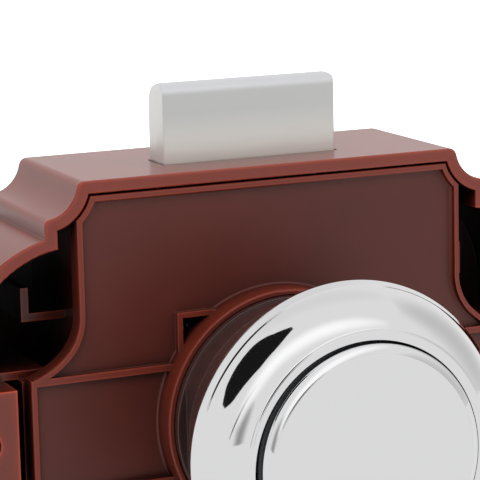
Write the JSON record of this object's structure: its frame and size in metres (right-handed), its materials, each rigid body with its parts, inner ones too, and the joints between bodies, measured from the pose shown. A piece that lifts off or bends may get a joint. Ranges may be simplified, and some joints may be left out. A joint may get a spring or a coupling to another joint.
{
  "type": "pushbutton cabinet latch",
  "caption": "Rim latch for a caravan or furniture door: a chromed push knob through the door pops out and draws a spring bolt back into a moulded housing.",
  "frame": {"origin": "barrel axis on the face that lies against the door, midway between the ear screw holes", "axes": "+X to the right seen from the door side, +Y into the cabinet, +Z the way the bolt points"},
  "size_m": [0.0784, 0.0471, 0.0596],
  "materials": {
    "shell_plastic": "glossy moulded",
    "plate_plastic": "satin moulded",
    "sleeve_plastic": "satin moulded",
    "inner_plastic": "moulded",
    "core_plastic": "moulded",
    "chrome_plate": "bright plated",
    "satin_bolt": "satin nickel",
    "spring_steel": "drawn wire",
    "zinc_screw": "zinc plated",
    "clip_steel": "stamped"
  },
  "bodies": {
    "housing": {"housing_shell": "shell_plastic", "base_plate": "plate_plastic", "barrel_sleeve": "sleeve_plastic", "retaining_clip": "clip_steel", "plate_screws": "zinc_screw", "knob_spring": "spring_steel", "carriage_spring_left": "spring_steel", "carriage_spring_right": "spring_steel"},
    "rosette": {"rosette_cap": "chrome_plate", "rosette_core": "core_plastic"},
    "knob": {"knob_cap": "chrome_plate", "knob_core": "core_plastic", "knob_pin": "clip_steel", "tappet": "inner_plastic"},
    "carriage": {"bolt_carriage": "inner_plastic", "keeper_plate": "inner_plastic", "keeper_screws": "zinc_screw", "bolt_spring_left": "spring_steel", "bolt_spring_right": "spring_steel"},
    "bolt": {"bolt": "satin_bolt"},
    "follower": {"follower_wire": "spring_steel"}
  },
  "joints": [
    {"name": "knob_slide", "type": "slide", "parent": "housing", "child": "knob", "axis": [0, -1, 0], "range_m": [0, 0.0094], "deforming": ["knob_spring"]},
    {"name": "retract_slide", "type": "slide", "parent": "housing", "child": "carriage", "axis": [0, 0, -1], "range_m": [0, 0.0094], "deforming": ["carriage_spring_left", "carriage_spring_right"]},
    {"name": "bolt_slide", "type": "slide", "parent": "carriage", "child": "bolt", "axis": [0, 0, -1], "range_m": [0, 0.0094], "stiffness_N_per_m": 100, "springref_m": -0.003, "deforming": ["bolt_spring_left", "bolt_spring_right"]},
    {"name": "follower_swing", "type": "hinge", "parent": "housing", "child": "follower", "pos_m": [0, 0.0187, 0.006], "axis": [0, 0, 1], "range_deg": [0, 6.8]},
    {"name": "rosette_adjust", "type": "slide", "parent": "housing", "child": "rosette", "axis": [0, 1, 0], "range_m": [-0.001, 0.003]}
  ],
  "couplings": [
    {"joint": "retract_slide", "follows": "knob_slide", "ratio": 1},
    {"joint": "follower_swing", "follows": "knob_slide", "rad_per_m": 12.5}
  ]
}
